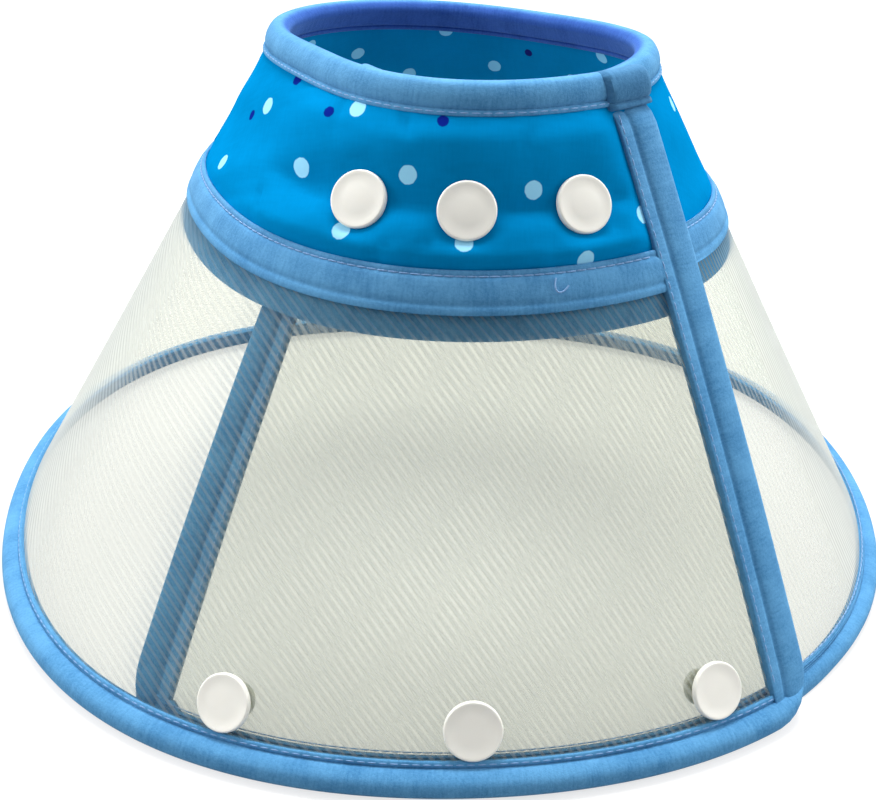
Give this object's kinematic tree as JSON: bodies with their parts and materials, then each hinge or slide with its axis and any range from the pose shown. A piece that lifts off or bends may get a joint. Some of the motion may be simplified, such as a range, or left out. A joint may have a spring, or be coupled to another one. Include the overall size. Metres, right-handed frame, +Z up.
{
  "type": "elizabethan collar",
  "caption": "Translucent ribbed film cone with a padded printed neck band and bound edges, wrapped, overlapped at the front and closed by press snaps.",
  "frame": {"origin": "middle of the collar's footprint, on the surface that its wide rim stands on", "axes": "+Z up towards the neck ring, -Y towards the overlap at the front, +X to the right seen from the front"},
  "size_m": [0.2467, 0.2429, 0.1381],
  "materials": {
    "film": "milky translucent film with fine slanted ribs",
    "printed_fabric": "bright blue woven cotton with light and dark round dots",
    "lining_fabric": "teal blue woven lining with sparse dots",
    "binding_tape": "soft brushed blue knit tape, stitched",
    "padding_foam": "thin soft wadding",
    "snap_plastic": "ivory white moulded plastic"
  },
  "bodies": {
    "root": {"main_neck_cover": "printed_fabric", "main_neck_padding": "padding_foam", "main_neck_lining": "lining_fabric", "main_neck_binding": "binding_tape", "main_seam_binding_outer": "binding_tape", "main_seam_binding_inner": "binding_tape", "main_panel": "film", "main_rim_binding": "binding_tape"},
    "outer_flap": {"outer_flap_neck_cover": "printed_fabric", "outer_flap_neck_padding": "padding_foam", "outer_flap_neck_lining": "lining_fabric", "outer_flap_neck_binding": "binding_tape", "outer_flap_seam_binding_outer": "binding_tape", "outer_flap_seam_binding_inner": "binding_tape", "outer_flap_panel": "film", "outer_flap_rim_binding": "binding_tape", "outer_flap_end_binding": "binding_tape", "neck_snap_left_cap": "snap_plastic", "neck_snap_left_socket": "snap_plastic", "neck_snap_middle_cap": "snap_plastic", "neck_snap_middle_socket": "snap_plastic", "neck_snap_right_cap": "snap_plastic", "neck_snap_right_socket": "snap_plastic", "rim_snap_left_cap": "snap_plastic", "rim_snap_left_socket": "snap_plastic", "rim_snap_middle_cap": "snap_plastic", "rim_snap_middle_socket": "snap_plastic", "rim_snap_right_cap": "snap_plastic", "rim_snap_right_socket": "snap_plastic"},
    "inner_flap": {"inner_flap_neck_cover": "printed_fabric", "inner_flap_neck_padding": "padding_foam", "inner_flap_neck_lining": "lining_fabric", "inner_flap_neck_binding": "binding_tape", "inner_flap_seam_binding_outer": "binding_tape", "inner_flap_seam_binding_inner": "binding_tape", "inner_flap_panel": "film", "inner_flap_rim_binding": "binding_tape", "inner_flap_end_binding": "binding_tape", "neck_snap_left_stud": "snap_plastic", "neck_snap_left_back_cap": "snap_plastic", "neck_snap_middle_stud": "snap_plastic", "neck_snap_middle_back_cap": "snap_plastic", "neck_snap_right_stud": "snap_plastic", "neck_snap_right_back_cap": "snap_plastic", "rim_snap_left_stud": "snap_plastic", "rim_snap_left_back_cap": "snap_plastic", "rim_snap_middle_stud": "snap_plastic", "rim_snap_middle_back_cap": "snap_plastic", "rim_snap_right_stud": "snap_plastic", "rim_snap_right_back_cap": "snap_plastic"}
  },
  "joints": [
    {"name": "outer_flap_hinge", "type": "hinge", "parent": "root", "child": "outer_flap", "pos_m": [-0.05916, -0.05707, 0.06933], "axis": [-0.3923, -0.358, -0.8473], "range_deg": [0, 70], "stiffness_Nm_per_rad": 0.03},
    {"name": "inner_flap_hinge", "type": "hinge", "parent": "root", "child": "inner_flap", "pos_m": [0.05948, -0.0523, 0.06689], "axis": [0.3417, -0.3514, -0.8716], "range_deg": [0, 20], "stiffness_Nm_per_rad": 0.06, "springref_deg": -17.19}
  ]
}
